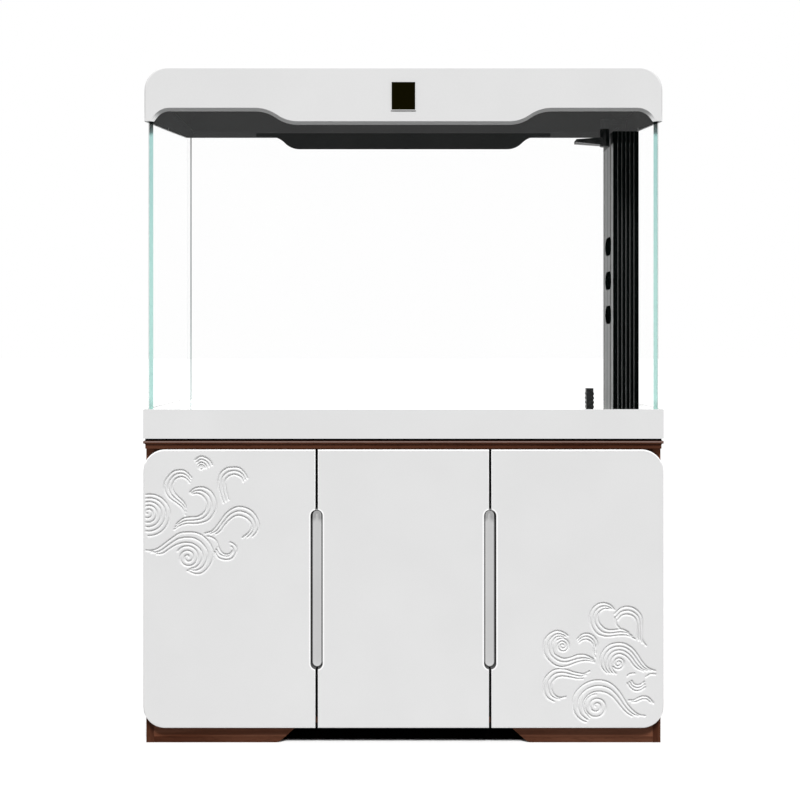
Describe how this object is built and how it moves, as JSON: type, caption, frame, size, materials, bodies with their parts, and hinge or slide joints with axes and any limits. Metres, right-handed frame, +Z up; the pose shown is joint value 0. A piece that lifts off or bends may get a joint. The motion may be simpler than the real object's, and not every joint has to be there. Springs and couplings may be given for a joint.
{
  "type": "aquarium stand cabinet",
  "caption": "Three-door aquarium stand cabinet with its glass tank, overflow column and lighted hood.",
  "frame": {"origin": "on the floor under the middle of the unit", "axes": "+Z up, +X to the unit's right as seen from its front, -Y out of its front"},
  "size_m": [1.2, 0.46, 1.5675],
  "materials": {
    "walnut": "satin dark walnut veneer",
    "white_lacquer": "satin white lacquer on board",
    "black_board": "matt black board",
    "foam": "matt black foam",
    "grey_trim": "satin grey",
    "steel": "nickel plated",
    "glass": "clear float glass",
    "white_plastic": "satin white",
    "dark_plastic": "matt dark grey",
    "black_plastic": "matt black",
    "grey_pipe": "satin grey",
    "aluminium": "anodised",
    "lens": "opal",
    "media": "porous ceramic",
    "rubber": "soft clear bumpers",
    "badge": "gloss black"
  },
  "bodies": {
    "cabinet": {"left_side_panel": "walnut", "right_side_panel": "walnut", "left_partition": "walnut", "right_partition": "walnut", "floor_board": "walnut", "cornice_board": "walnut", "top_rails": "walnut", "back_panel": "walnut", "port_grommets": "black_plastic", "base_board": "walnut", "toe_kick": "black_board", "base_bearers": "walnut", "shelf_board": "walnut", "shelf_pins": "steel", "levelling_mat": "foam", "door_bumpers": "rubber", "left_pull_pan": "grey_trim", "right_pull_pan": "grey_trim", "tank_skirt": "white_plastic", "bottom_pane": "glass", "front_pane": "glass", "back_pane": "glass", "left_pane": "glass", "right_pane": "glass", "overflow_column": "black_plastic", "bulkhead_fittings": "dark_plastic", "drain_standpipe": "grey_pipe", "drain_pipe": "grey_pipe", "riser_pipe": "dark_plastic", "return_pipe": "grey_pipe", "suction_strainer": "black_plastic", "sump_tank": "glass", "media_tray": "dark_plastic", "filter_media": "media", "return_pump": "black_plastic", "hood_cover": "white_plastic", "hood_liner": "dark_plastic", "hood_hump_panel": "dark_plastic", "lamp_housing": "aluminium", "lamp_diffuser": "lens", "lamp_brackets": "aluminium", "cover_hinge_leaves": "steel", "lid_hinge_pins": "steel", "left_hinge_arms": "steel", "middle_hinge_arms": "steel", "right_hinge_arms": "steel"},
    "left_door": {"left_door_panel": "white_lacquer", "left_hinge_cups": "steel", "left_hinge_pins": "steel"},
    "middle_door": {"middle_door_panel": "white_lacquer", "middle_hinge_cups": "steel", "middle_hinge_pins": "steel"},
    "right_door": {"right_door_panel": "white_lacquer", "right_hinge_cups": "steel", "right_hinge_pins": "steel"},
    "hood_lid": {"hood_lid_shell": "white_plastic", "lid_hinge_leaves": "steel", "badge_plate": "badge"},
    "return_spout": {"return_nozzle": "dark_plastic"}
  },
  "joints": [
    {"name": "left_door_hinge", "type": "hinge", "parent": "cabinet", "child": "left_door", "pos_m": [-0.593, -0.2225, 0.362], "axis": [0, 0, -1], "range_deg": [0, 90]},
    {"name": "middle_door_hinge", "type": "hinge", "parent": "cabinet", "child": "middle_door", "pos_m": [-0.191, -0.2225, 0.362], "axis": [0, 0, -1], "range_deg": [0, 90]},
    {"name": "right_door_hinge", "type": "hinge", "parent": "cabinet", "child": "right_door", "pos_m": [0.593, -0.2225, 0.362], "axis": [0, 0, 1], "range_deg": [0, 90]},
    {"name": "hood_lid_hinge", "type": "hinge", "parent": "cabinet", "child": "hood_lid", "pos_m": [0, 0, 1.565], "axis": [-1, 0, 0], "range_deg": [0, 80]},
    {"name": "spout_swivel", "type": "hinge", "parent": "cabinet", "child": "return_spout", "pos_m": [0.502, -0.035, 1.441], "axis": [0, 0, 1], "range_deg": [-60, 60]}
  ]
}
